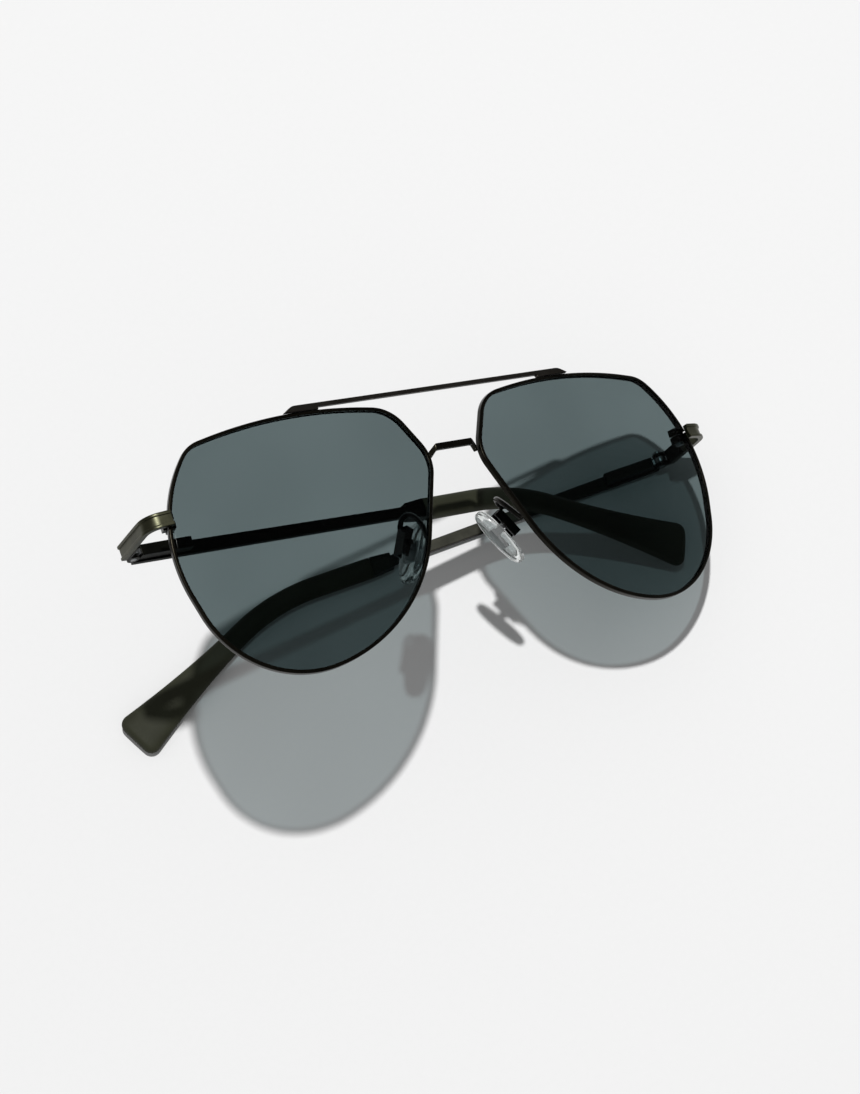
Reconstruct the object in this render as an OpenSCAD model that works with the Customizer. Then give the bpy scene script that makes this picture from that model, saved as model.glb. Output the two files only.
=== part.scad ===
// Folding aviator sunglasses in thin metal, lying face up as they were put down.
// Right and left are the wearer's. The front is drawn upright, X to the wearer's left, Y back, Z up,
// and lie_down() turns the folded glasses into the pose in which they rest.

/* [Front] */
// Width of one rim over its outer edges
rim_w = 62; // [51.5:0.5:74.5]
// Height of one rim over its outer edges
rim_h = 54.4; // [45.2:0.4:65.6]
// Distance between the two rims at the nose
nose_gap = 13; // [11:0.5:16]
// Angle by which each lens wraps back around the face
wrap = 6.3; // [3:0.1:9]
// Radius of the lens surfaces
lens_radius = 265; // [180:5:400]
// Width of the rim wire seen from the front
rim_t = 0.8; // [0.7:0.05:0.95]
// Depth of the rim wire from front to back
rim_d = 1.5; // [1.3:0.1:1.8]
// Thickness of the lenses
lens_t = 1.2; // [1:0.1:1.2]
// Rise of the brow bar's centre above the rims
brow_rise = 0.9; // [0.8:0.1:2]
// Height of the bridge strap above the lens centres
bridge_z = 13.1; // [10:0.1:16]

/* [Hinges] */
// Distance of the hinge pin outside the cut in the rim
hinge_out = 2.5; // [2:0.1:3]
// Distance of the hinge pin behind the rim
hinge_back = 15.4; // [12.6:0.2:18.4]
// Distance of the hinge pin below the cut in the rim
hinge_down = 1.6; // [1:0.1:2.4]
// Tilt of the hinge pin, which tips the open temple down at the back
pantoscopic = 5; // [3:0.5:8]
// Radius of the hinge pin
pin_r = 0.7; // [0.55:0.05:0.85]
// Thickness of the temple arm and of the end piece
strip_t = 1.3; // [1.05:0.05:1.6]

/* [Temples] */
// Length of the bare metal arm, from the pin to the collar
arm_len = 67.5; // [56:0.5:82]
// Height of the arm beside the hinge
arm_h = 3.1; // [2.6:0.1:3.8]
// Height of the arm beside the collar
arm_end_h = 2.5; // [2:0.1:3]
// Length of the tip from the collar to the bend behind the ear
tip_len = 14; // [11:0.5:17]
// Radius of the bend behind the ear
bend_r = 44; // [36:1:53]
// Angle of the bend behind the ear
bend_angle = 27; // [22:1:33]
// Length of the straight end behind the bend
drop_len = 34.5; // [28:0.5:42]
// Width of the tip where it starts
tip_w = 5; // [4.2:0.1:6]
// Width of the tip at its end
tip_end_w = 11.8; // [9:0.2:14.4]
// Thickness of the tip
tip_t = 3.4; // [2.8:0.1:4]
// Angle between the folded left temple and the front
left_fold = 27.5; // [26:0.5:30]
// Angle between the folded right temple and the front
right_fold = -0.2; // [-0.8:0.1:0.8]

/* [Nose pads] */
// Length of a nose pad
pad_len = 14.2; // [11.8:0.2:17]
// Width of a nose pad
pad_w = 7.4; // [6.2:0.1:8.8]
// Thickness of a nose pad
pad_t = 3; // [2.5:0.1:3.6]
// Slant of the pads seen from the front
pad_slant = 30; // [24:1:34]
// Splay of the pads seen from above
pad_splay = 16; // [12:1:22]

/* [Hidden] */
$fn = 48;

// Colours as the glasses show them
metal_colour = "#2b2a24";
lens_colour = "#5d696b";
tip_colour = "#26261f";
pad_colour = "#e8ecec";
steel_colour = "#8d9093";

// Clearance of pieces that are screwed, soldered or slid together
fit = 0.05;
// Extra length of a cut, so that it passes through the face where it ends
over = 0.5;

// Pose on the table: the front is tipped onto its back, leans to one side, and is then moved to its place
rest_tip = -82.63;
rest_lean = 28.18;
rest_at = [13.227, 0.244, 53.077];

// Corners of the rim outline, from the top outwards, as seen on the left lens, and so on round to the
// outer side. Each is its place from the lens centre, then the radius that rounds it. The rounded outline
// is stretched to the rim's width and height.
corners = [
    [21.45, 23.56, 7.2],
    [-1.99, 27.71, 110],
    [-25.56, 23.55, 8.6],
    [-31.85, 11.05, 8.9],
    [-17.62, -24.7, 36.6],
    [23.36, -31.47, 22.9],
    [34.39, 8.33, 32.1]];
// Longest step along a rounded corner
outline_step = 2.2;
// Shortest step between two points of the outline
outline_least = 0.15;
// Width of the cut where the rim opens to take the lens, and its height as a share of the rim's height
rim_cut = 0.25;
cut_height = 0.169;

function unit(v) = v / norm(v);
function flat(lists) = [for (list = lists) each list];
function reversed(list) = [for (i = [len(list) - 1:-1:0]) list[i]];
function sum(list, i = 0) = i < len(list) ? list[i] + sum(list, i + 1) : 0;
function middle(ring) = [for (axis = [0:2]) sum([for (p = ring) p[axis]]) / len(ring)];
function angle_of(d) = atan2(d[1], d[0]);
function wave(x, power) = sign(x) * pow(abs(x), power);

// A closed solid through a list of rings that have equal counts of points
module skin(rings) {
    n = len(rings[0]);
    last = len(rings) - 1;
    hub = n * len(rings);
    sides = [for (i = [0:last - 1], j = [0:n - 1])
        let (a = i * n + j, b = i * n + (j + 1) % n)
        each [[a, b, a + n], [b, b + n, a + n]]];
    first_cap = [for (j = [0:n - 1]) [(j + 1) % n, j, hub]];
    last_cap = [for (j = [0:n - 1]) [last * n + j, last * n + (j + 1) % n, hub + 1]];
    polyhedron(concat(flat(rings), [middle(rings[0]), middle(rings[last])]),
        concat(sides, first_cap, last_cap));
}

// Rim outline: points with their outward normals, in order round the rim
function corner_at(i) = let (c = corners[i % len(corners)]) [c[0], c[1]];
function heading(i) = unit(corner_at(i + 1) - corner_at(i));
function arc_points(i) = let (
        into = heading(i + len(corners) - 1),
        turn = (angle_of(heading(i)) - angle_of(into) + 720) % 360,
        r = corners[i][2],
        centre = corner_at(i) - into * r * tan(turn / 2) - [into[1], -into[0]] * r,
        start = angle_of(into) - 90,
        steps = max(3, ceil(r * turn * PI / 180 / outline_step)))
    [for (k = [0:steps]) let (a = start + turn * k / steps)
        [centre[0] + r * cos(a), centre[1] + r * sin(a), cos(a), sin(a)]];
drawn = flat([for (i = [0:len(corners) - 1]) arc_points(i)]);
function span(axis) = max([for (p = drawn) p[axis]]) - min([for (p = drawn) p[axis]]);
stretch = [rim_w / span(0), rim_h / span(1)];
function stretched(p) = concat([p[0] * stretch[0], p[1] * stretch[1]],
    unit([p[2] / stretch[0], p[3] / stretch[1]]));
function apart(p, q) = norm([p[0] - q[0], p[1] - q[1]]) > outline_least;
rounded = [for (i = [0:len(drawn) - 1]) if (apart(drawn[i], drawn[(i + 1) % len(drawn)]))
    stretched(drawn[i])];

// The same outline, starting and ending at the cut beside the hinge
cut_z = cut_height * rim_h;
function rises_past(i, v) = rounded[i - 1][1] < v && rounded[i][1] >= v;
function outer_side(v) = [for (i = [1:len(rounded) - 1]) if (rises_past(i, v))
    let (a = rounded[i - 1], b = rounded[i]) a + (b - a) * (v - a[1]) / (b[1] - a[1])][0];
above_cut = outer_side(cut_z + rim_cut / 2);
below_cut = outer_side(cut_z - rim_cut / 2);
cut_i = [for (i = [1:len(rounded) - 1]) if (rises_past(i, cut_z)) i][0];
turned = [for (i = [0:len(rounded) - 1]) rounded[(cut_i + i) % len(rounded)]];
outline = concat([above_cut], [for (p = turned) if (p[0] < 0 || abs(p[1] - cut_z) > rim_cut) p], [below_cut]);
rim_top = max([for (p = outline) p[1]]);
// Point of the outline's nose side at a height, with its normal
function nose_side(v) = [for (i = [1:len(outline) - 1]) let (a = outline[i - 1], b = outline[i])
    if (a[0] < 0 && a[1] >= v && b[1] < v) a + (b - a) * (a[1] - v) / (a[1] - b[1])][0];

// Depth of the lens sphere at a place on the lens
function sag(u, v) = lens_radius - sqrt(lens_radius * lens_radius - u * u - v * v);

// Places on the left lens, taken to the front, and shapes drawn about its centre
lens_x = (rim_w + nose_gap) / 2;
function lens_to_front(p) = [
    lens_x + p[0] * cos(wrap) - p[1] * sin(wrap),
    p[0] * sin(wrap) + p[1] * cos(wrap),
    p[2]];
module on_lens() translate([lens_x, 0, 0]) rotate([0, 0, wrap]) children();
function rim_middle(p) = lens_to_front([p[0], sag(p[0], p[1]) + rim_d / 2, p[1]]);

// Draws the wearer's left piece, or its mirror image on the right
module side(name) {
    if (name == "left") children();
    else mirror([1, 0, 0]) children();
}

module lie_down() translate(rest_at) rotate([rest_tip, rest_lean, 0]) children();

// Rim wire: a small bevel at the outer edges, and a V groove inside that holds the lens
rim_bevel = 0.25;
groove_d = rim_t / 2;
groove_w = 0.9;
groove_from = (rim_d - groove_w) / 2;
groove_to = (rim_d + groove_w) / 2;
rim_section = [
    [rim_bevel, 0],
    [rim_t, 0],
    [rim_t, groove_from],
    [rim_t - groove_d, rim_d / 2],
    [rim_t, groove_to],
    [rim_t, rim_d],
    [rim_bevel, rim_d],
    [0, rim_d - rim_bevel],
    [0, rim_bevel]];
function rim_point(p, s) = [p[0] - s[0] * p[2], sag(p[0], p[1]) + s[1], p[1] - s[0] * p[3]];
function rim_ring(p) = [for (s = rim_section) rim_point(p, s)];

module rim() {
    color(metal_colour) on_lens() skin([for (p = outline) rim_ring(p)]);
}

// Lens: two spherical faces, and an edge bevel that sits in the rim's groove
lens_front = (rim_d - lens_t) / 2;
lens_inset = rim_t + fit;
lens_zones = [0.35, 0.7, 0.98];
function lens_edge(inset, depth) = [for (p = rounded) rim_point(p, [inset, depth])];
function lens_ring(zone, depth) = [for (q = lens_edge(lens_inset, depth))
    [zone * q[0], sag(zone * q[0], zone * q[2]) + depth, zone * q[2]]];

module lens() {
    front = [for (zone = lens_zones) lens_ring(zone, lens_front)];
    edge = [
        lens_edge(lens_inset, lens_front),
        lens_edge(lens_inset, groove_from),
        lens_edge(lens_inset - groove_d, rim_d / 2),
        lens_edge(lens_inset, groove_to),
        lens_edge(lens_inset, lens_front + lens_t)];
    back = [for (zone = reversed(lens_zones)) lens_ring(zone, lens_front + lens_t)];
    color(lens_colour, 0.8) on_lens() skin(concat(front, edge, back));
}

// Brow bar: a thin bar with a deeper tab at each end, which is soldered along the rim
brow_h = 0.95;
brow_d = 1.1;
brow_y = 0.4;
brow_inset = 0.9;
brow_end_slope = 2.2;
brow_end_r = 0.8;
tab_len = 8.3;
tab_steps = 4;
corner_steps = 4;
// Height of the rim's top edge at a distance from the middle of the front
function rim_height(x) = lookup(x, [for (p = outline) if (p[1] > 0) let (q = rim_middle(p)) [q[0], q[2]]]);
function rounded_corner(a, b, c) = [for (k = [0:corner_steps]) let (t = k / corner_steps)
    (1 - t) * (1 - t) * a + 2 * t * (1 - t) * b + t * t * c];

module brow_bar() {
    tip = lens_x - brow_inset;
    heel = tip - tab_len;
    top = rim_top + brow_rise + brow_h / 2;
    shoulder = [tip - brow_end_slope, top];
    seat = [for (k = [0:tab_steps]) let (x = tip - tab_len * k / tab_steps) [x, rim_height(x) + fit]];
    slope = brow_end_r * unit(seat[0] - shoulder);
    slot_top = top - brow_h;
    slot_r = (slot_top - seat[tab_steps][1]) / 2;
    half = concat(
        [[0, top]],
        rounded_corner(shoulder - [brow_end_r, 0], shoulder, shoulder + slope),
        seat,
        rounded_corner([heel, slot_top - slot_r], [heel, slot_top], [heel - slot_r, slot_top]),
        [[0, slot_top]]);
    color(metal_colour) translate([0, brow_y + brow_d, 0]) rotate([90, 0, 0])
        linear_extrude(brow_d) polygon(concat(half, [for (p = reversed(half)) [-p[0], p[1]]]));
}

// Bridge: a flat strap that stands a little forward, with a leg bent back and down to each rim
bridge_h = 1.4;
bridge_t = 1;
bridge_leg = [1.6, 1.4];
bridge_drop = 1.4;
bridge_lap = 0.2;
function bridge_ring(front, rear, z) = [
    [front[0], front[1], z - bridge_h / 2],
    [rear[0], rear[1], z - bridge_h / 2],
    [rear[0], rear[1], z + bridge_h / 2],
    [front[0], front[1], z + bridge_h / 2]];
function mirrored(ring) = [for (p = ring) [-p[0], p[1], p[2]]];

module bridge() {
    foot_z = bridge_z - bridge_drop;
    low = foot_z - bridge_h / 2;
    high = foot_z + bridge_h / 2;
    beside = concat([nose_side(low), nose_side(high)],
        [for (p = outline) if (p[0] < 0 && p[1] > low && p[1] < high) p]);
    foot = [
        min([for (p = beside) rim_middle(p)[0]]) - 2 * fit,
        rim_middle(nose_side(foot_z))[1] + bridge_lap];
    knee = foot - bridge_leg;
    across = bridge_t * [-bridge_leg[1], bridge_leg[0]] / norm(bridge_leg);
    inside = knee + bridge_t * [-tan(angle_of(bridge_leg) / 2), 1];
    leg = [bridge_ring(foot, foot + across, foot_z), bridge_ring(knee, inside, bridge_z)];
    color(metal_colour) skin(concat(leg, [for (ring = reversed(leg)) mirrored(ring)]));
}

// Hinge frame: the pin stands along Z at the origin, and the open temple runs along Y
cut_front = lens_to_front([below_cut[0], sag(below_cut[0], below_cut[1]), below_cut[1]]);
hinge_at = cut_front + [hinge_out, hinge_back, -hinge_down];
module at_hinge() translate(hinge_at) rotate([-pantoscopic, 0, 0]) children();

// Sizes that the hinge's pieces share
knuckle_wall = 0.7;
knuckle_r = pin_r + knuckle_wall;
knuckle_gap = 0.1;
strip_gap = 0.3;
strip_x = knuckle_r + strip_gap;
outer_x = strip_x + strip_t;
bore_r = pin_r + fit;
eye_h = 1.2;
leaf_eye_h = 0.9;
leaf_h = eye_h + 2 * knuckle_gap + 2 * leaf_eye_h;
mitre = 10;
function mitre_at(x) = x * tan(mitre) + 2 * fit;

// End piece: a channelled strip that laps the rim, turns back round a bend and ends at the hinge
end_h = 3.2;
end_bend_r = 4.2;
end_rise = 12;
end_lap = 0.25;
end_channel_h = 1.9;
end_channel_d = 0.3;
bend_steps = 8;
lap_over = 0.3;
lap_x = -hinge_out - lap_over;
lap_y = -hinge_back * cos(pantoscopic) - hinge_down * sin(pantoscopic) - strip_t - end_lap
    - lap_over * tan(end_rise);
function end_line(inset) = let (
        along = [cos(end_rise), sin(end_rise)],
        outward = [along[1], -along[0]],
        start = [lap_x, lap_y],
        centre_x = outer_x - end_bend_r,
        run = (centre_x + end_bend_r * outward[0] - lap_x) / along[0],
        centre = start + run * along - end_bend_r * outward,
        r = end_bend_r - inset)
    concat([start - inset * outward],
        [for (k = [0:bend_steps]) let (a = end_rise - 90 + (90 - end_rise) * k / bend_steps)
            centre + r * [cos(a), sin(a)]],
        [[outer_x - inset, -mitre_at(outer_x - inset)]]);

module end_piece() {
    color(metal_colour) at_hinge() difference() {
        translate([0, 0, -end_h / 2]) linear_extrude(end_h)
            polygon(concat(end_line(0), reversed(end_line(strip_t))));
        translate([0, 0, -end_channel_h / 2]) linear_extrude(end_channel_h)
            polygon(concat(end_line(-over), reversed(end_line(end_channel_d))));
    }
}

// Rim lock: two blocks behind the rim, one on each side of the cut, drawn together by a screw
lock_w = 2.8;
lock_d = 2.2;
lock_h = 1.6;
lock_screw_r = 0.5;
lock_head_r = 0.9;
lock_head_h = 0.6;
lock_slot = 0.25;
lock_gap = 0.15;
module at_lock() on_lens()
    translate([below_cut[0] - rim_t / 2, sag(below_cut[0], below_cut[1]) + rim_d + lock_gap, below_cut[1]])
        rotate([0, 0, asin(below_cut[0] / lens_radius)]) translate([0, lock_d / 2, 0]) children();

module lock_block(bottom) {
    color(metal_colour) at_lock() translate([0, 0, bottom]) difference() {
        translate([-lock_w / 2, -lock_d / 2, 0]) cube([lock_w, lock_d, lock_h]);
        translate([0, 0, -over]) cylinder(r = lock_screw_r + fit, h = lock_h + 2 * over);
    }
}
module lock_upper() lock_block(rim_cut / 2);
module lock_lower() lock_block(-rim_cut / 2 - lock_h);

module lock_screw() {
    color(steel_colour) at_lock() translate([0, 0, -rim_cut / 2 - lock_h - lock_head_h]) difference() {
        union() {
            cylinder(r = lock_head_r, h = lock_head_h);
            cylinder(r = lock_screw_r, h = lock_head_h + 2 * lock_h + rim_cut);
        }
        translate([-lock_head_r - over, -lock_slot / 2, -over])
            cube([2 * (lock_head_r + over), lock_slot, lock_slot + over]);
    }
}

// Hinge leaf: a plate on the end piece with an upper and a lower knuckle
leaf_len = 6.5;
leaf_t = 0.6;
web_clear = 0.4;

module leaf_knuckle() {
    difference() {
        union() {
            cylinder(r = knuckle_r, h = leaf_eye_h);
            translate([0, -knuckle_r, 0]) cube([strip_x - fit, knuckle_r - web_clear, leaf_eye_h]);
        }
        translate([0, 0, -over]) cylinder(r = bore_r, h = leaf_eye_h + 2 * over);
    }
}

module hinge_leaf() {
    plate_x = strip_x - fit - leaf_t;
    plate_end = knuckle_r + knuckle_gap;
    color(metal_colour) at_hinge() union() {
        translate([plate_x, -leaf_len, -leaf_h / 2]) cube([leaf_t, leaf_len - plate_end, leaf_h]);
        for (z = [-leaf_h / 2, leaf_h / 2 - leaf_eye_h]) translate([0, 0, z]) {
            leaf_knuckle();
            translate([plate_x, -plate_end - leaf_t, 0])
                cube([leaf_t, leaf_t + plate_end - web_clear, leaf_eye_h]);
        }
    }
}

// Hinge screw: the pin of the hinge, with a slotted head on the upper knuckle
head_wall = 0.45;
head_h = 0.5;
slot_w = 0.3;

module hinge_screw() {
    head_r = pin_r + head_wall;
    color(steel_colour) at_hinge() difference() {
        union() {
            translate([0, 0, -leaf_h / 2]) cylinder(r = pin_r, h = leaf_h);
            translate([0, 0, leaf_h / 2]) cylinder(r = head_r, h = head_h);
        }
        translate([-head_r - over, -slot_w / 2, leaf_h / 2 + head_h - slot_w])
            cube([2 * (head_r + over), slot_w, slot_w + over]);
    }
}

// Folds a piece that is drawn on the open left temple, and mirrors it for the right one
module fold(name) {
    angle = name == "left" ? left_fold : right_fold;
    side(name) at_hinge() rotate([0, 0, 90 - angle]) children();
}

// Spring hinge: a case on the arm, in which a slider is held back by a coil spring around its rod
case_w = 2.6;
case_h = 2.4;
case_gap = 0.5;
case_from = knuckle_r + case_gap;
case_len = 12;
case_wall = 1;
case_x = strip_x - fit - case_w / 2;
bore_w = 1.7;
tongue_w = 1.5;
tongue_in = 2.7;
tongue_to = case_from + tongue_in;
rod_r = 0.32;
rod_head_r = 0.7;
rod_head_h = 0.5;
rod_room = 0.5;
rod_to = case_from + case_len - case_wall - rod_head_h - rod_room;
bush_room = 0.5;
bush_from = tongue_to + bush_room;
bush_len = 1;
wire_r = 0.11;
wire_sides = 6;
spring_turns = 7;
turn_steps = 14;

module hinge_case() {
    color(metal_colour) difference() {
        translate([case_x - case_w / 2, case_from, -case_h / 2]) cube([case_w, case_len, case_h]);
        translate([case_x - bore_w / 2, case_from - over, -bore_w / 2])
            cube([bore_w, case_len - case_wall + over, bore_w]);
    }
}

module along_rod(from) translate([case_x, from, 0]) rotate([-90, 0, 0]) children();

module hinge_slider() {
    color(steel_colour) difference() {
        union() {
            translate([0, 0, -eye_h / 2]) cylinder(r = knuckle_r, h = eye_h);
            translate([case_x - tongue_w / 2, 0, -eye_h / 2]) cube([tongue_w, tongue_to, eye_h]);
            along_rod(tongue_to) cylinder(r = rod_r, h = rod_to - tongue_to);
            along_rod(rod_to) cylinder(r = rod_head_r, h = rod_head_h);
        }
        translate([0, 0, -eye_h / 2 - over]) cylinder(r = bore_r, h = eye_h + 2 * over);
    }
}

module spring_bush() {
    bush_w = bore_w - 2 * fit;
    color(steel_colour) difference() {
        translate([case_x - bush_w / 2, bush_from, -bush_w / 2]) cube([bush_w, bush_len, bush_w]);
        along_rod(bush_from - over) cylinder(r = rod_r + fit, h = bush_len + 2 * over);
    }
}

module hinge_spring() {
    from = bush_from + bush_len + wire_r + fit;
    to = rod_to - wire_r - fit;
    coil_r = rod_r + 2 * fit + wire_r;
    steps = spring_turns * turn_steps;
    rings = [for (k = [0:steps])
        let (a = 360 * k / turn_steps, y = from + (to - from) * k / steps)
        [for (j = [1:wire_sides]) let (b = -360 * j / wire_sides, r = coil_r + wire_r * cos(b))
            [case_x + r * cos(a), y + wire_r * sin(b), r * sin(a)]]];
    color(steel_colour) skin(rings);
}

// Line of the tip, from the pin: distance, height and slope of its start, its bend and its end
collar_len = 5;
tip_from = arm_len + collar_len;
tip_z = -1;
arm_x = strip_x + strip_t / 2;
bend_at = tip_from + tip_len;
function bend_point(a) = [bend_at + bend_r * sin(a), tip_z - bend_r * (1 - cos(a)), a];
function drop_point(s) = bend_point(bend_angle) + [s * cos(bend_angle), -s * sin(bend_angle), 0];
function tip_side(p, across) = [p[0] + across * sin(p[2]), p[1] + across * cos(p[2])];
bend_line = [for (k = [0:bend_steps]) bend_point(bend_angle * k / bend_steps)];

// Core: the thin end of the arm inside the tip, as the edges of a flat outline seen from the side
core_h = 1.6;
core_drop = 14;
function core_edge(across, grow) = [
    for (p = concat([[tip_from - grow, tip_z, 0]], bend_line, [drop_point(core_drop + grow)]))
        tip_side(p, across)];

// Stands a flat outline, drawn as distance and height, on edge along the temple
module on_edge(thickness) {
    translate([arm_x - thickness / 2, 0, 0]) rotate([90, 0, 90]) linear_extrude(thickness) children();
}

// Temple arm: a flat strip that narrows to the collar, with its core behind
module temple_arm() {
    far = outer_x + over;
    top = tip_z + arm_end_h / 2;
    bottom = tip_z - arm_end_h / 2;
    color(metal_colour) difference() {
        on_edge(strip_t) polygon(concat(
            [[0, -arm_h / 2], [arm_len, bottom], [tip_from, bottom]],
            core_edge(-core_h / 2, 0),
            reversed(core_edge(core_h / 2, 0)),
            [[tip_from, top], [arm_len, top], [0, arm_h / 2]]));
        translate([0, 0, -arm_h]) linear_extrude(2 * arm_h)
            polygon([[0, -over], [far, -over], [far, mitre_at(far)], [0, mitre_at(0)]]);
    }
}

// Collar: a flared sleeve that closes the front of the tip
collar_rim = 0.5;
module collar() {
    front_h = arm_end_h / 2 + collar_rim;
    back_h = tip_w / 2 - collar_rim / 2;
    slot_h = arm_end_h / 2 + fit;
    color(metal_colour) difference() {
        on_edge(tip_t - collar_rim) translate([0, tip_z]) polygon([[arm_len, -front_h],
            [tip_from - fit, -back_h], [tip_from - fit, back_h], [arm_len, front_h]]);
        on_edge(strip_t + 2 * fit) translate([arm_len - over, tip_z - slot_h])
            square([collar_len + 2 * over, 2 * slot_h]);
    }
}

// Tip: a moulded sleeve of rounded section that flares to a paddle end, over the core
tip_points = 20;
tip_square = 0.6;
tip_round = 1.6;
tip_end_turns = [30, 60, 80];
tip_end_thin = 0.9;
tip_zones = 6;
flare_power = 1.7;
function tip_ring(p, w, t) = [for (j = [0:tip_points - 1])
    let (b = -360 * j / tip_points, q = tip_side(p, w / 2 * wave(cos(b), tip_square)))
    [arm_x + t / 2 * wave(sin(b), tip_square), q[0], q[1]]];
function flare(s) = tip_w + (tip_end_w - tip_w) * pow(s / drop_len, flare_power);

module temple_tip() {
    half_core = core_h / 2 + fit;
    start = [[tip_from, tip_z, 0]];
    body = [for (p = concat(start, bend_line)) tip_ring(p, tip_w, tip_t)];
    paddle = [for (k = [1:tip_zones]) let (s = (drop_len - tip_round) * k / tip_zones)
        tip_ring(drop_point(s), flare(s), tip_t)];
    end = [for (a = tip_end_turns)
        let (s = drop_len - tip_round * (1 - sin(a)), cut = 2 * tip_round * (1 - cos(a)))
        tip_ring(drop_point(s), flare(s) - cut, tip_t - cut * tip_end_thin)];
    color(tip_colour) difference() {
        skin(concat(body, paddle, end));
        on_edge(strip_t + 2 * fit)
            polygon(concat(core_edge(half_core, fit), reversed(core_edge(-half_core, fit))));
    }
}

// Nose pad frame: the pad screw lies along Y at the origin, X points away from the nose
pad_root_z = -5.5;
pad_reach = [0.5, 8.6, 1.5];
pad_root = let (p = nose_side(pad_root_z), q = [p[0] - p[2] * rim_t / 2, p[1] - p[3] * rim_t / 2])
    lens_to_front([q[0], sag(q[0], q[1]) + rim_d + fit, q[1]]);
pad_at = pad_root + pad_reach;
module at_pad() translate(pad_at) rotate([0, -pad_slant, 0]) rotate([0, 0, -pad_splay]) children();
function pad_to_front(p) = let (
        x = p[0] * cos(pad_splay) + p[1] * sin(pad_splay),
        y = p[1] * cos(pad_splay) - p[0] * sin(pad_splay))
    pad_at + [x * cos(pad_slant) - p[2] * sin(pad_slant), y, x * sin(pad_slant) + p[2] * cos(pad_slant)];

// Sizes that the pad's pieces share
pad_screw_r = 0.4;
pad_gap = 1.3;
pad_low = 1.2;
eye_r = 0.8;
eye_w = 1.4;
eye_gap = 0.1;
box_wall = 0.6;
box_len = 6.4;
box_back = 1.5;
box_front = 0.5;
box_w = eye_w + 2 * eye_gap + 2 * box_wall;

// Pad arm: a gooseneck of round wire from the back of the rim to the pad box
wire_points = 10;
neck_r = 0.6;
neck_steps = 16;
neck_rise = [-2.2, 3.2, 5.2];
neck_fall = [-2.3, 0, 5];
module pad_arm() {
    end = pad_to_front([box_back + neck_r, 0, box_len / 2 - neck_r]);
    poles = [pad_root + [0, neck_r, 0], pad_root + neck_rise, end + neck_fall, end];
    line = [for (k = [0:neck_steps]) let (t = k / neck_steps, r = 1 - t)
        r * r * r * poles[0] + 3 * r * r * t * poles[1] + 3 * r * t * t * poles[2] + t * t * t * poles[3]];
    rings = [for (k = [0:neck_steps])
        let (along = unit(line[min(k + 1, neck_steps)] - line[max(k - 1, 0)]),
            a = unit(cross(along, [1, 0, 0])), b = cross(along, a))
        [for (j = [0:wire_points - 1]) let (w = -360 * j / wire_points)
            line[k] + neck_r * (cos(w) * a + sin(w) * b)]];
    color(metal_colour) skin(rings);
}

module across_pad(r, length) rotate([90, 0, 0]) translate([0, 0, -length / 2]) cylinder(r = r, h = length);

// Pad box: a small channel that carries the pad screw
module pad_box() {
    color(metal_colour) at_pad() difference() {
        translate([-box_front, -box_w / 2, -box_len / 2]) cube([box_front + box_back, box_w, box_len]);
        translate([-box_front - over, -box_w / 2 + box_wall, -box_len / 2 - over])
            cube([box_front + over + box_back - box_wall, box_w - 2 * box_wall, box_len + 2 * over]);
        across_pad(pad_screw_r + fit, box_w + 2 * over);
    }
}

// Pad screw: a fine pin with a head on one side of the box
pad_head_r = 0.7;
pad_head_h = 0.4;
module pad_screw() {
    color(steel_colour) at_pad() union() {
        across_pad(pad_screw_r, box_w);
        translate([0, -box_w / 2 - pad_head_h / 2, 0]) across_pad(pad_head_r, pad_head_h);
    }
}

// Pad core: a stiff plate inside the pad, with an eye on the screw
plate_len = 5;
plate_w = 2.8;
plate_t = 0.6;
module pad_core_solid(grow) {
    mid = pad_gap + pad_t / 2;
    translate([-mid - plate_t / 2 - grow, -plate_w / 2 - grow, -pad_low - plate_len / 2 - grow])
        cube([plate_t + 2 * grow, plate_w + 2 * grow, plate_len + 2 * grow]);
    translate([-mid, -eye_w / 2 - grow, -eye_r - grow]) cube([mid, eye_w + 2 * grow, 2 * eye_r + 2 * grow]);
}

module pad_core() {
    color(steel_colour) at_pad() difference() {
        union() {
            pad_core_solid(0);
            across_pad(eye_r, eye_w);
        }
        across_pad(pad_screw_r + fit, eye_w + 2 * over);
    }
}

// Nose pad: a soft clear cushion moulded over the core
pad_points = 20;
pad_zones = 12;
pad_end = 82;
pad_end_square = [0.5, 0.7];
pad_side_square = [0.8, 0.9];
module nose_pad() {
    rings = [for (k = [0:pad_zones]) let (
            a = pad_end * (2 * k / pad_zones - 1),
            thick = pad_t / 2 * wave(cos(a), pad_end_square[0]),
            wide = pad_w / 2 * wave(cos(a), pad_end_square[1]))
        [for (j = [0:pad_points - 1]) let (b = -360 * j / pad_points)
            [-pad_gap - pad_t / 2 + thick * wave(cos(b), pad_side_square[0]),
                wide * wave(sin(b), pad_side_square[1]),
                -pad_low + pad_len / 2 * sin(a) / sin(pad_end)]]];
    color(pad_colour, 0.6) at_pad() difference() {
        skin(rings);
        pad_core_solid(fit);
    }
}

lie_down() brow_bar();
lie_down() bridge();
lie_down() side("right") rim();  // right_rim
lie_down() side("left") rim();  // left_rim
lie_down() side("right") lens();  // right_lens
lie_down() side("left") lens();  // left_lens
lie_down() side("right") end_piece();  // right_end_piece
lie_down() side("left") end_piece();  // left_end_piece
lie_down() side("right") lock_upper();  // right_lock_upper
lie_down() side("left") lock_upper();  // left_lock_upper
lie_down() side("right") lock_lower();  // right_lock_lower
lie_down() side("left") lock_lower();  // left_lock_lower
lie_down() side("right") lock_screw();  // right_lock_screw
lie_down() side("left") lock_screw();  // left_lock_screw
lie_down() side("right") pad_arm();  // right_pad_arm
lie_down() side("left") pad_arm();  // left_pad_arm
lie_down() side("right") pad_box();  // right_pad_box
lie_down() side("left") pad_box();  // left_pad_box
lie_down() side("right") pad_screw();  // right_pad_screw
lie_down() side("left") pad_screw();  // left_pad_screw
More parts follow.
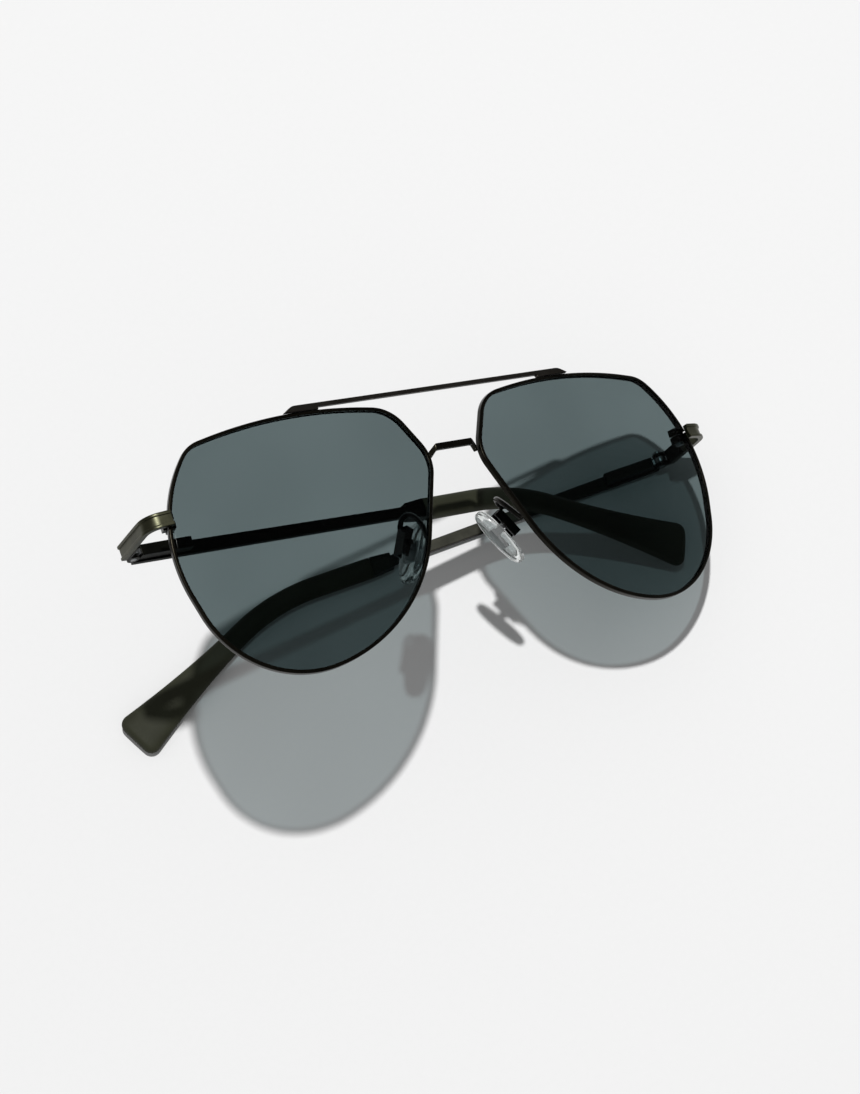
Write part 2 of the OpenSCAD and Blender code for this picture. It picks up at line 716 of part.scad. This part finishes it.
lie_down() side("right") pad_core();  // right_pad_core
lie_down() side("left") pad_core();  // left_pad_core
lie_down() side("right") nose_pad();  // right_nose_pad
lie_down() side("left") nose_pad();  // left_nose_pad
lie_down() side("right") hinge_leaf();  // right_hinge_leaf
lie_down() side("left") hinge_leaf();  // left_hinge_leaf
lie_down() side("right") hinge_screw();  // right_hinge_screw
lie_down() side("left") hinge_screw();  // left_hinge_screw
lie_down() fold("right") hinge_slider();  // right_hinge_slider
lie_down() fold("left") hinge_slider();  // left_hinge_slider
lie_down() fold("right") hinge_case();  // right_hinge_case
lie_down() fold("left") hinge_case();  // left_hinge_case
lie_down() fold("right") spring_bush();  // right_spring_bush
lie_down() fold("left") spring_bush();  // left_spring_bush
lie_down() fold("right") hinge_spring();  // right_hinge_spring
lie_down() fold("left") hinge_spring();  // left_hinge_spring
lie_down() fold("right") temple_arm();  // right_temple_arm
lie_down() fold("left") temple_arm();  // left_temple_arm
lie_down() fold("right") collar();  // right_collar
lie_down() fold("left") collar();  // left_collar
lie_down() fold("right") temple_tip();  // right_temple_tip
lie_down() fold("left") temple_tip();  // left_temple_tip
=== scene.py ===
import math

import bmesh
import bpy
from mathutils import Matrix, Vector


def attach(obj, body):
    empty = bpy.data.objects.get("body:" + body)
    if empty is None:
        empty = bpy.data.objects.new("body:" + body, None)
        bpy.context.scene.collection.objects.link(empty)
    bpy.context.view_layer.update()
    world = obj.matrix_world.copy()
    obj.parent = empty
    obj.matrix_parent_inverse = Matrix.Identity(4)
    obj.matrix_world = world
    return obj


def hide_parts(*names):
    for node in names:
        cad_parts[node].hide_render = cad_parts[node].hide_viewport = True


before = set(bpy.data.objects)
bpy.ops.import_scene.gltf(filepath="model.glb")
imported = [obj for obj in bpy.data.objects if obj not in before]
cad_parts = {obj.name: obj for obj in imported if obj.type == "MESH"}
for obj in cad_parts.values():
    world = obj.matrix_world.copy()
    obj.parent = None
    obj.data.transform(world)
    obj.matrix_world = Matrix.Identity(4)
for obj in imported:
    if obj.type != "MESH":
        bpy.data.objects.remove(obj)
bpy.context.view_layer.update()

SIDES = ("right", "left")

# Places. Lengths are in millimetres and angles in degrees. The front is drawn upright, X to the
# wearer's left, Y back and Z up. Pieces are drawn for the left side and mirrored for the right.
REST_AT, REST_LEAN, REST_TIP = (13.227, 0.244, 53.077), 28.18, -82.63
LENS_AT, LENS_WRAP = (37.5, 0, 0), 6.3
HINGE_AT, HINGE_TILT = (69.4504, 20.5033, 7.4686), 5
FOLD = {"left": 27.5, "right": -0.2}
PAD_AT, PAD_SLANT, PAD_SPLAY = Vector((12.9576, 8.62775, -3.85194)), 30, 16


def rotate(angle, axis):
    return Matrix.Rotation(math.radians(angle), 4, axis)


# LIE_DOWN turns the upright front into the pose on the table, in metres
LIE_DOWN = (
    Matrix.Scale(0.001, 4)
    @ Matrix.Translation(REST_AT)
    @ rotate(REST_LEAN, "Y")
    @ rotate(REST_TIP, "X")
)
MIRROR = {"left": Matrix.Identity(4), "right": Matrix.Scale(-1, 4, (1, 0, 0))}
ON_LENS = Matrix.Translation(LENS_AT) @ rotate(LENS_WRAP, "Z")
AT_HINGE = Matrix.Translation(HINGE_AT) @ rotate(-HINGE_TILT, "X")
FOLDED = {side: AT_HINGE @ rotate(90 - FOLD[side], "Z") for side in SIDES}
AT_PAD = Matrix.Translation(PAD_AT) @ rotate(-PAD_SLANT, "Y") @ rotate(-PAD_SPLAY, "Z")


# Finishes

def linear(colour):
    """A colour written as sRGB hex, as the linear numbers that a shader takes."""
    parts = [int(colour[i:i + 2], 16) / 255 for i in (1, 3, 5)]
    return [c / 12.92 if c <= 0.04045 else ((c + 0.055) / 1.055) ** 2.4 for c in parts] + [1.0]


def add(tree, kind, links=None, values=None, **settings):
    """Adds one node. Settings are its own properties, values the numbers of its inputs, and links
    what feeds its inputs."""
    node = tree.nodes.new(kind)
    for key, value in settings.items():
        setattr(node, key, value)
    for key, value in (values or {}).items():
        node.inputs[key].default_value = value
    for key, socket in (links or {}).items():
        tree.links.new(socket, node.inputs[key])
    return node


def finish(name):
    """An empty material: its node tree and the place where the surface goes."""
    material = bpy.data.materials.new(name)
    material.use_nodes = True
    material.node_tree.nodes.clear()
    output = material.node_tree.nodes.new("ShaderNodeOutputMaterial")
    return material, material.node_tree, output.inputs["Surface"]


def noise(tree, size, detail):
    """Uneven patches of about this size."""
    place = add(tree, "ShaderNodeTexCoord").outputs["Object"]
    return add(tree, "ShaderNodeTexNoise", {"Vector": place},
               {"Scale": 1000 / size, "Detail": detail}).outputs["Fac"]


def blend(tree, value, low, high, ends=(0.0, 1.0)):
    """A colour between two, led by a value. Past the two ends it stays the same."""
    tone = add(tree, "ShaderNodeValToRGB", {"Fac": value})
    for stop, position, colour in zip(tone.color_ramp.elements, ends, (low, high)):
        stop.position = position
        stop.color = linear(colour)
    return tone.outputs["Color"]


def between(tree, value, low, high):
    """A number between two, led by a value from 0 to 1."""
    return add(tree, "ShaderNodeMapRange", {"Value": value},
               {"To Min": low, "To Max": high}).outputs["Result"]


def relief(tree, height, strength, depth):
    """Fine relief of this depth."""
    return add(tree, "ShaderNodeBump", {"Height": height},
               {"Strength": strength, "Distance": depth / 1000}).outputs["Normal"]


def coat(tree, surface, links, values):
    shader = add(tree, "ShaderNodeBsdfPrincipled", links, values)
    tree.links.new(shader.outputs["BSDF"], surface)


def plated_metal(name, dark, light, roughness, grain):
    """Nickel silver with a dark plating, satin polished: nearly black, warm where the light runs
    along it. The plating is a little uneven, in patches of some millimetres, and the polish leaves
    a fine grain. The real grain is about 0.02 mm, too fine to show, so it is drawn coarser."""
    material, tree, surface = finish(name)
    patches = noise(tree, 4, 3)
    polish = noise(tree, grain, 2)
    coat(tree, surface,
         {"Base Color": blend(tree, patches, dark, light, (0.35, 0.65)),
          "Roughness": between(tree, polish, roughness - 0.06, roughness + 0.06),
          "Normal": relief(tree, polish, 0.12, 0.02)},
         {"Metallic": 1.0})
    return material


def tinted_glass():
    """Grey mineral glass, ground and polished: it takes away all but about an eighth of the light,
    a little more of the red, and mirrors the room weakly, more at a flat angle. Each ray crosses
    two faces, so a face passes the root of that."""
    material, tree, surface = finish("grey_tinted_glass_polished")
    tint = blend(tree, noise(tree, 30, 1), "#a1abac", "#a6b0b1", (0.3, 0.7))
    clear = add(tree, "ShaderNodeBsdfTransparent", {"Color": tint})
    polish = add(tree, "ShaderNodeBsdfPrincipled", values={
        "Base Color": linear("#0a0c0d"), "Roughness": 0.06,
        "IOR": 1.52, "Specular IOR Level": 0.5})
    facing = add(tree, "ShaderNodeLayerWeight", values={"Blend": 0.5}).outputs["Facing"]
    grazing = add(tree, "ShaderNodeMath", {0: facing}, {1: 5.0}, operation="POWER")
    gloss = between(tree, grazing.outputs["Value"], 0.043, 1.0)
    both = add(tree, "ShaderNodeMixShader",
               {0: gloss, 1: clear.outputs["BSDF"], 2: polish.outputs["BSDF"]})
    tree.links.new(both.outputs["Shader"], surface)
    return material


def moulded_tip():
    """Cellulose acetate, tumbled to a satin sheen: dark olive, with soft cloudy patches from the
    pigment and a faint orange peel left by the tumbling."""
    material, tree, surface = finish("olive_acetate_tumbled")
    cloud = noise(tree, 9, 4)
    peel = noise(tree, 0.5, 2)
    coat(tree, surface,
         {"Base Color": blend(tree, cloud, "#2a2b20", "#35372a", (0.3, 0.7)),
          "Roughness": between(tree, peel, 0.54, 0.66),
          "Normal": relief(tree, peel, 0.1, 0.03)},
         {"IOR": 1.48, "Specular IOR Level": 0.13})
    return material


def clear_silicone():
    """Clear silicone rubber, moulded: see-through with a soft gloss, bright along its rounded
    edges, and faintly cloudy inside."""
    material, tree, surface = finish("clear_silicone_moulded")
    haze = noise(tree, 3, 2)
    coat(tree, surface,
         {"Roughness": between(tree, haze, 0.03, 0.1)},
         {"Base Color": linear("#f4f7f6"), "IOR": 1.41, "Transmission Weight": 0.9})
    return material


def turned_steel():
    """Stainless steel, turned on a lathe: pale grey, with fine tool marks. The real marks are
    about 0.02 mm apart, too fine to show, so they are drawn coarser."""
    material, tree, surface = finish("stainless_steel_turned")
    marks = noise(tree, 0.15, 3)
    coat(tree, surface,
         {"Base Color": blend(tree, marks, "#7c7e80", "#a3a5a6"),
          "Roughness": between(tree, marks, 0.22, 0.4)},
         {"Metallic": 1.0})
    return material


def matt_card():
    """White card, uncoated: the plain sheet that the glasses lie on, with no gloss."""
    material, tree, surface = finish("white_card_uncoated")
    fibre = noise(tree, 1.5, 3)
    coat(tree, surface,
         {"Base Color": blend(tree, fibre, "#e6e6e6", "#e8e8e8")},
         {"Roughness": 1.0, "Specular IOR Level": 0.0})
    return material


rim_plating = plated_metal("dark_plated_wire_satin", "#151410", "#1e1c17", 0.28, 0.3)
# Painted light: the brow bar has the same black plating as the rim and bridge, but is drawn
# lighter for the light it catches from the lamp above.
brow_plating_painted_light = plated_metal("dark_plated_bar_satin_painted_light", "#302d29", "#393632", 0.34, 0.3)
end_plating = plated_metal("dark_plated_channel_satin", "#36362a", "#424234", 0.34, 0.25)
strip_plating = plated_metal("dark_plated_strip_satin", "#161613", "#1e1e1a", 0.46, 0.25)
box_plating = plated_metal("black_plated_fittings_polished", "#1e1d1b", "#292826", 0.18, 0.3)
lens_glass = tinted_glass()
tip_acetate = moulded_tip()
pad_silicone = clear_silicone()
screw_steel = turned_steel()


# Pieces

def skin(name, rings, place, node, body, material, crease=35):
    """A closed piece through rings of points, smooth except where it turns by more than the
    crease."""
    mesh = bpy.data.meshes.new(name)
    work = bmesh.new()
    loops = [[work.verts.new(LIE_DOWN @ place @ Vector(p)) for p in ring] for ring in rings]
    count = len(rings[0])
    for a, b in zip(loops, loops[1:]):
        for j in range(count):
            k = (j + 1) % count
            work.faces.new((a[j], a[k], b[k], b[j]))
    work.faces.new(loops[0][::-1])
    work.faces.new(loops[-1])
    if work.calc_volume(signed=True) < 0:
        bmesh.ops.reverse_faces(work, faces=work.faces)
    for face in work.faces:
        face.smooth = True
    for edge in work.edges:
        edge.smooth = edge.calc_face_angle(0) < math.radians(crease)
    work.to_mesh(mesh)
    work.free()
    mesh.materials.append(material)
    piece = bpy.data.objects.new(name, mesh)
    bpy.context.scene.collection.objects.link(piece)
    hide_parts(node)
    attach(piece, body)


def wave(x, power):
    """A cosine or sine squared off by a power below 1, so that a round section turns boxy."""
    return math.copysign(abs(x) ** power, x)


def around(count):
    """Angles once round, in radians."""
    return [2 * math.pi * j / count for j in range(count)]


def rounded_corners(points, cuts, steps):
    """A closed outline with each corner cut back by its own length and rounded."""
    line = []
    for i, (corner, cut) in enumerate(zip(points, cuts)):
        before, after = Vector(points[i - 1]), Vector(points[(i + 1) % len(points)])
        corner = Vector(corner)
        a = corner + (before - corner).normalized() * cut
        b = corner + (after - corner).normalized() * cut
        for k in range(steps + 1):
            t = k / steps
            line.append((1 - t) ** 2 * a + 2 * t * (1 - t) * corner + t * t * b)
            if cut == 0:
                break
    return line


# Rim outline: corners as places on the lens, then the radius that rounds each
CORNERS = [
    (21.45, 23.56, 7.2), (-1.99, 27.71, 110), (-25.56, 23.55, 8.6), (-31.85, 11.05, 8.9),
    (-17.62, -24.7, 36.6), (23.36, -31.47, 22.9), (34.39, 8.33, 32.1),
]
OUTLINE_STEP, CLOSEST = 0.5, 0.1
LENS_RADIUS = 265
RIM_T, RIM_D = 0.8, 1.5
GROOVE_FROM, GROOVE_TO = 0.3, 1.2
CUT_Z, CUT_GAP = 9.194, 0.25


def rim_outline():
    """Points of the rim's outer edge with their outward normals, round from the corner above the
    hinge."""
    corners = [Vector((x, y)) for x, y, r in CORNERS]
    points = []
    for i, corner in enumerate(corners):
        into = (corner - corners[i - 1]).normalized()
        away = (corners[(i + 1) % len(corners)] - corner).normalized()
        turn = (math.atan2(away.y, away.x) - math.atan2(into.y, into.x)) % (2 * math.pi)
        r = CORNERS[i][2]
        centre = corner - into * r * math.tan(turn / 2) - Vector((into.y, -into.x)) * r
        start = math.atan2(into.y, into.x) - math.pi / 2
        steps = max(4, math.ceil(r * turn / OUTLINE_STEP))
        for k in range(steps + 1):
            angle = start + turn * k / steps
            out = Vector((math.cos(angle), math.sin(angle)))
            points.append((centre + r * out, out))
    following = points[1:] + points[:1]
    return [p for p, q in zip(points, following) if (p[0] - q[0]).length > CLOSEST]


def from_cut(points):
    """The same points from just above the cut beside the hinge, round to just below it."""
    first = next(i for i in range(1, len(points))
                 if points[i - 1][0].y < CUT_Z <= points[i][0].y)
    a, b = points[first - 1], points[first]
    ends = []
    for height in (CUT_Z + CUT_GAP / 2, CUT_Z - CUT_GAP / 2):
        t = (height - a[0].y) / (b[0].y - a[0].y)
        ends.append((a[0].lerp(b[0], t), a[1].lerp(b[1], t).normalized()))
    clear = [p for p in points[first:] + points[:first]
             if p[0].x < 0 or abs(p[0].y - CUT_Z) > CUT_GAP]
    return ends[:1] + clear + ends[1:]


def sag(u, v):
    """How far the lens's sphere lies back at a place on it."""
    return LENS_RADIUS - math.sqrt(LENS_RADIUS ** 2 - u * u - v * v)


def on_rim(point, inset, depth):
    at, out = point
    q = at - inset * out
    return (q.x, sag(at.x, at.y) + depth, q.y)


outline = rim_outline()
groove = [(RIM_T, GROOVE_FROM), (RIM_T / 2, RIM_D / 2), (RIM_T, GROOVE_TO)]
rim_section = rounded_corners(
    [(0, 0), (RIM_T, 0), *groove, (RIM_T, RIM_D), (0, RIM_D)],
    [0.32, 0.1, 0, 0, 0, 0.1, 0.26], 5)

for side in SIDES:
    rings = [[on_rim(p, inset, depth) for inset, depth in rim_section] for p in from_cut(outline)]
    skin(f"{side}_rim_wire", rings, MIRROR[side] @ ON_LENS,
         f"{side}_rim", "front", rim_plating)

# Lens: two ground faces, and an edge bevel that sits in the rim's groove
LENS_INSET, LENS_FRONT, LENS_T = 0.85, 0.15, 1.2
LENS_BACK = LENS_FRONT + LENS_T
ZONES = (0.02, 0.15, 0.3, 0.45, 0.6, 0.72, 0.84, 0.93, 0.985)
LENS_EDGE = [
    (LENS_INSET, LENS_FRONT), (LENS_INSET, GROOVE_FROM), (LENS_INSET - RIM_T / 2, RIM_D / 2),
    (LENS_INSET, GROOVE_TO), (LENS_INSET, LENS_BACK),
]


def lens_face(zone, depth):
    edge = [on_rim(p, LENS_INSET, depth) for p in outline]
    return [(zone * u, sag(zone * u, zone * v) + depth, zone * v) for u, y, v in edge]


for side in SIDES:
    rings = [lens_face(z, LENS_FRONT) for z in ZONES]
    rings += [[on_rim(p, inset, depth) for p in outline] for inset, depth in LENS_EDGE]
    rings += [lens_face(z, LENS_BACK) for z in reversed(ZONES)]
    skin(f"{side}_ground_lens", rings, MIRROR[side] @ ON_LENS,
         f"{side}_lens", "front", lens_glass)

# Tip: a boxy section along a line that runs straight, bends and runs straight again, measured
# from the hinge pin. It flares on the last run, and its end is rounded off.
ARM_X, TIP_FROM, TIP_Z = 2.35, 72.5, -1
BEND_AT, BEND_R, BEND, DROP = 86.5, 44, 27, 34.5
TIP_W, TIP_END_W, TIP_T = 5, 11.8, 3.4
TIP_LEN = BEND_AT - TIP_FROM + BEND_R * math.radians(BEND) + DROP
FLARE_POWER, WIDE_POWER, THICK_POWER = 1.7, 0.7, 0.75
MOUTH, MOUTH_LEN = ((0, 0.25), (0.08, 0.1)), 0.25
END_CORNER, END_EDGE, END_SWEEP = 2.8, 1.5, 85
TIP_POINTS, TIP_STEPS, END_STEPS = 48, 60, 12


def tip_line(s):
    """Place and slope of the tip's middle, at a distance along it from its start."""
    if s < BEND_AT - TIP_FROM:
        return TIP_FROM + s, TIP_Z, 0
    turn = min((s - BEND_AT + TIP_FROM) / BEND_R, math.radians(BEND))
    rest = s - (BEND_AT - TIP_FROM) - BEND_R * turn
    return (BEND_AT + BEND_R * math.sin(turn) + rest * math.cos(turn),
            TIP_Z - BEND_R * (1 - math.cos(turn)) - rest * math.sin(turn), turn)


def end_cut(s, radius):
    """How far the tip is cut back at a place near its end, to round the end off by a radius."""
    left = max(0, radius - (TIP_LEN - s))
    return radius - math.sqrt(radius ** 2 - left ** 2)


def tip_ring(s, cut=0):
    along, height, slope = tip_line(s)
    flare = max(0, s - (TIP_LEN - DROP)) / DROP
    w = TIP_W + (TIP_END_W - TIP_W) * flare ** FLARE_POWER - 2 * (cut + end_cut(s, END_CORNER))
    t = TIP_T - 2 * (cut + end_cut(s, END_EDGE))
    ring = []
    for b in around(TIP_POINTS):
        across = w / 2 * wave(math.cos(b), WIDE_POWER)
        ring.append((ARM_X + t / 2 * wave(math.sin(b), THICK_POWER),
                     along + across * math.sin(slope), height + across * math.cos(slope)))
    return ring


for side in SIDES:
    body_len = TIP_LEN - END_CORNER - MOUTH_LEN
    sweep = [math.radians(END_SWEEP * k / END_STEPS) for k in range(1, END_STEPS + 1)]
    rings = [tip_ring(s, cut) for s, cut in MOUTH]
    rings += [tip_ring(MOUTH_LEN + body_len * k / TIP_STEPS) for k in range(TIP_STEPS + 1)]
    rings += [tip_ring(TIP_LEN - END_CORNER * (1 - math.sin(a))) for a in sweep]
    skin(f"{side}_moulded_tip", rings, MIRROR[side] @ FOLDED[side],
         f"{side}_temple_tip", f"{side}_temple", tip_acetate)

# Nose pad: a cushion of rounded section around the core
PAD_LEN, PAD_W, PAD_T, PAD_GAP, PAD_LOW = 14.2, 7.4, 3, 1.3, 1.2
PAD_END, PAD_POINTS, PAD_STEPS = math.radians(82), 40, 18
PAD_CREASE = 60


def pad_ring(a):
    thick = PAD_T / 2 * wave(math.cos(a), 0.5)
    wide = PAD_W / 2 * wave(math.cos(a), 0.7)
    high = -PAD_LOW + PAD_LEN / 2 * math.sin(a) / math.sin(PAD_END)
    middle = -PAD_GAP - PAD_T / 2
    return [(middle + thick * wave(math.cos(b), 0.8), wide * wave(math.sin(b), 0.9), high)
            for b in around(PAD_POINTS)]


for side in SIDES:
    rings = [pad_ring(PAD_END * (k / PAD_STEPS - 1)) for k in range(2 * PAD_STEPS + 1)]
    skin(f"{side}_silicone_pad", rings, MIRROR[side] @ AT_PAD,
         f"{side}_nose_pad", f"{side}_pad", pad_silicone, PAD_CREASE)

# Pad arm: a gooseneck of round wire from the back of the rim to the pad box
NECK_R, NECK_POINTS, NECK_STEPS, NECK_NUDGE = 0.6, 18, 48, 0.01
PAD_REACH, NECK_RISE, NECK_FALL = (0.5, 8.6, 1.5), (-2.2, 3.2, 5.2), (-2.3, 0, 5)
BOX_BACK, BOX_TOP = 1.5, 3.2
neck_root = PAD_AT - Vector(PAD_REACH)
neck_end = AT_PAD @ Vector((BOX_BACK + NECK_R, 0, BOX_TOP - NECK_R))
poles = [neck_root + Vector((0, NECK_R, 0)), neck_root + Vector(NECK_RISE),
         neck_end + Vector(NECK_FALL), neck_end]


def neck(t):
    r = 1 - t
    return (r ** 3 * poles[0] + 3 * r * r * t * poles[1]
            + 3 * r * t * t * poles[2] + t ** 3 * poles[3])


def neck_ring(t):
    along = (neck(min(t + NECK_NUDGE, 1)) - neck(max(t - NECK_NUDGE, 0))).normalized()
    a = along.cross(Vector((1, 0, 0))).normalized()
    b = along.cross(a)
    return [neck(t) + NECK_R * (math.cos(w) * a + math.sin(w) * b) for w in around(NECK_POINTS)]


for side in SIDES:
    rings = [neck_ring(k / NECK_STEPS) for k in range(NECK_STEPS + 1)]
    skin(f"{side}_wire_neck", rings, MIRROR[side],
         f"{side}_pad_arm", "front", box_plating)

# Pieces whose shape is right as they are: they get their finish, and edges eased by this much
EASED = {
    "brow_bar": (brow_plating_painted_light, 0.16),
    "bridge": (rim_plating, 0.22),
    "end_piece": (end_plating, 0.1),
    "lock_upper": (rim_plating, 0.1),
    "lock_lower": (rim_plating, 0.1),
    "lock_screw": (screw_steel, 0.06),
    "pad_box": (box_plating, 0.18),
    "pad_screw": (box_plating, 0.05),
    "pad_core": (screw_steel, 0.08),
    "hinge_leaf": (strip_plating, 0.08),
    "hinge_screw": (screw_steel, 0.06),
    "hinge_slider": (screw_steel, 0.05),
    "hinge_case": (strip_plating, 0.15),
    "spring_bush": (screw_steel, 0.04),
    "hinge_spring": (screw_steel, 0),
    "temple_arm": (strip_plating, 0.14),
    "collar": (strip_plating, 0.18),
}
WELD_GAP, EASE_STEPS, EASE_OVER = 0.002, 3, 30

for kind, (material, ease) in EASED.items():
    for name in [kind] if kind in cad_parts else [f"{side}_{kind}" for side in SIDES]:
        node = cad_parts[name]
        node.data.materials.clear()
        node.data.materials.append(material)
        weld = node.modifiers.new("weld", "WELD")
        weld.merge_threshold = WELD_GAP / 1000
        if ease:
            bevel = node.modifiers.new("eased_edges", "BEVEL")
            bevel.width = ease / 1000
            bevel.segments = EASE_STEPS
            bevel.limit_method = "ANGLE"
            bevel.angle_limit = math.radians(EASE_OVER)
        node.modifiers.new("even_shading", "WEIGHTED_NORMAL")


# Table, light and camera. The lamp and the camera are placed from the upright front.
FLOOR_HALF_M = 30
ROOM_LIGHT = 0.3
LAMP_AT, LAMP_POWER, LAMP_RADIUS_M = (-478.9, -1026.6, 369.1), 34, 0.02
CAMERA_AT, CAMERA_LENS, CAMERA_SENSOR = (-283.06, -415.45, -108.04), 79.54, 36
CAMERA_SIGHT, CAMERA_ACROSS = (0.53439, 0.82166, 0.19824), (0.83074, -0.46733, -0.30245)

floor_mesh = bpy.data.meshes.new("card_sheet")
floor_mesh.from_pydata(
    [(FLOOR_HALF_M * x, FLOOR_HALF_M * y, 0) for x, y in ((-1, -1), (1, -1), (1, 1), (-1, 1))],
    [], [(0, 1, 2, 3)])
floor_mesh.materials.append(matt_card())
floor = bpy.data.objects.new("card_sheet", floor_mesh)
bpy.context.scene.collection.objects.link(floor)

world = bpy.data.worlds.new("white_room")
bpy.context.scene.world = world
world.use_nodes = True
room = world.node_tree.nodes["Background"]
room.inputs["Color"].default_value = linear("#ffffff")
room.inputs["Strength"].default_value = ROOM_LIGHT

# The lamp lights the sheet evenly: its light doesn't fall off with distance
lamp = bpy.data.lights.new("studio_lamp", "POINT")
lamp.energy = LAMP_POWER
lamp.shadow_soft_size = LAMP_RADIUS_M
lamp.use_nodes = True
even = add(lamp.node_tree, "ShaderNodeLightFalloff", values={"Strength": 1.0})
glow = lamp.node_tree.nodes["Emission"]
lamp.node_tree.links.new(even.outputs["Constant"], glow.inputs["Strength"])
lamp_at = bpy.data.objects.new("studio_lamp", lamp)
lamp_at.location = LIE_DOWN @ Vector(LAMP_AT)
bpy.context.scene.collection.objects.link(lamp_at)

bpy.context.scene.view_settings.view_transform = "Standard"
turned = LIE_DOWN.to_3x3().normalized()
sight = (turned @ Vector(CAMERA_SIGHT)).normalized()
across = turned @ Vector(CAMERA_ACROSS)
across = (across - across.dot(sight) * sight).normalized()
looking = Matrix((across, across.cross(sight), -sight)).transposed().to_4x4()
camera = bpy.data.cameras.new("camera")
camera.lens = CAMERA_LENS
camera.sensor_width = CAMERA_SENSOR
camera_at = bpy.data.objects.new("camera", camera)
camera_at.matrix_world = Matrix.Translation(LIE_DOWN @ Vector(CAMERA_AT)) @ looking
bpy.context.scene.collection.objects.link(camera_at)
bpy.context.scene.camera = camera_at
